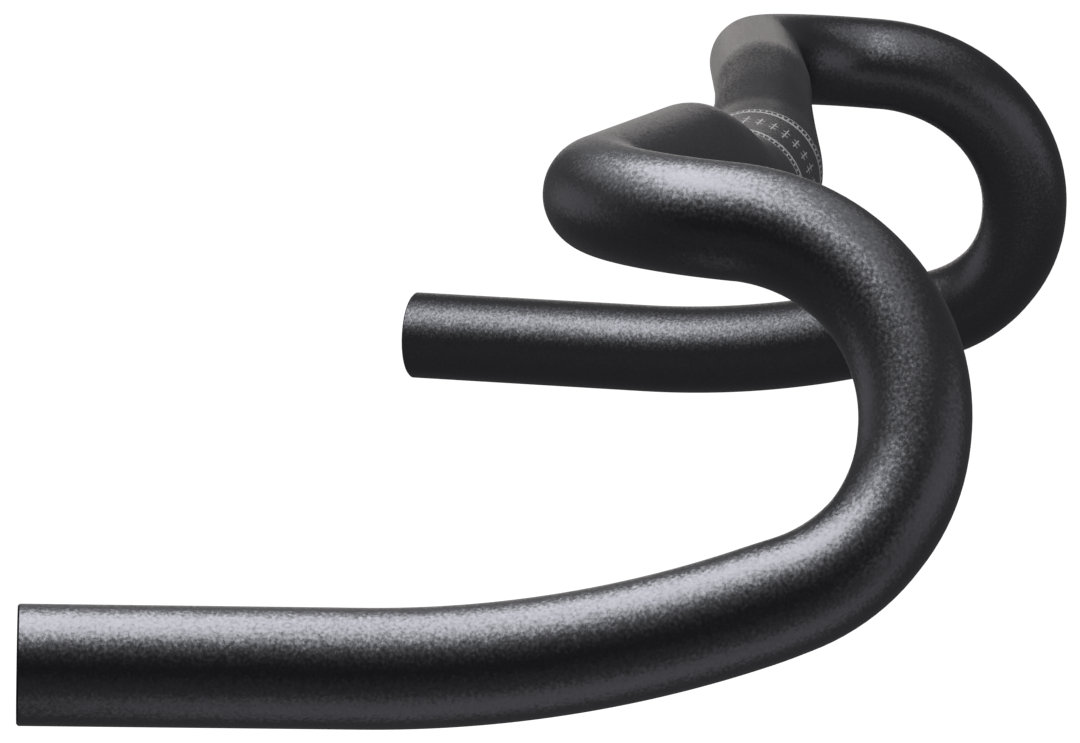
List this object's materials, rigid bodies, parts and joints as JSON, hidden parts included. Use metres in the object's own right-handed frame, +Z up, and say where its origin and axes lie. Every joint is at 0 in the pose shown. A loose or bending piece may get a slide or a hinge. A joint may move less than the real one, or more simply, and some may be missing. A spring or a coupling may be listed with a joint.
{
  "type": "swept-back handlebar",
  "caption": "Bicycle drop bar bent from swaged alloy tube, with a thick clamp zone in the middle, raised swept-back tops, short ramps and shallow hooks that flare out to open straight ends.",
  "frame": {"origin": "middle of the clamp zone, on the tube's axis", "axes": "+X along the clamp zone to the rider's right, +Y forwards, +Z up with the grips level"},
  "size_m": [0.6006, 0.1846, 0.11],
  "materials": {
    "bar": "fine bead blasting under near-black anodising, with light printed rings and ticks in the clamp zone"
  },
  "bodies": {
    "root": {"handlebar": "bar"}
  },
  "joints": []
}
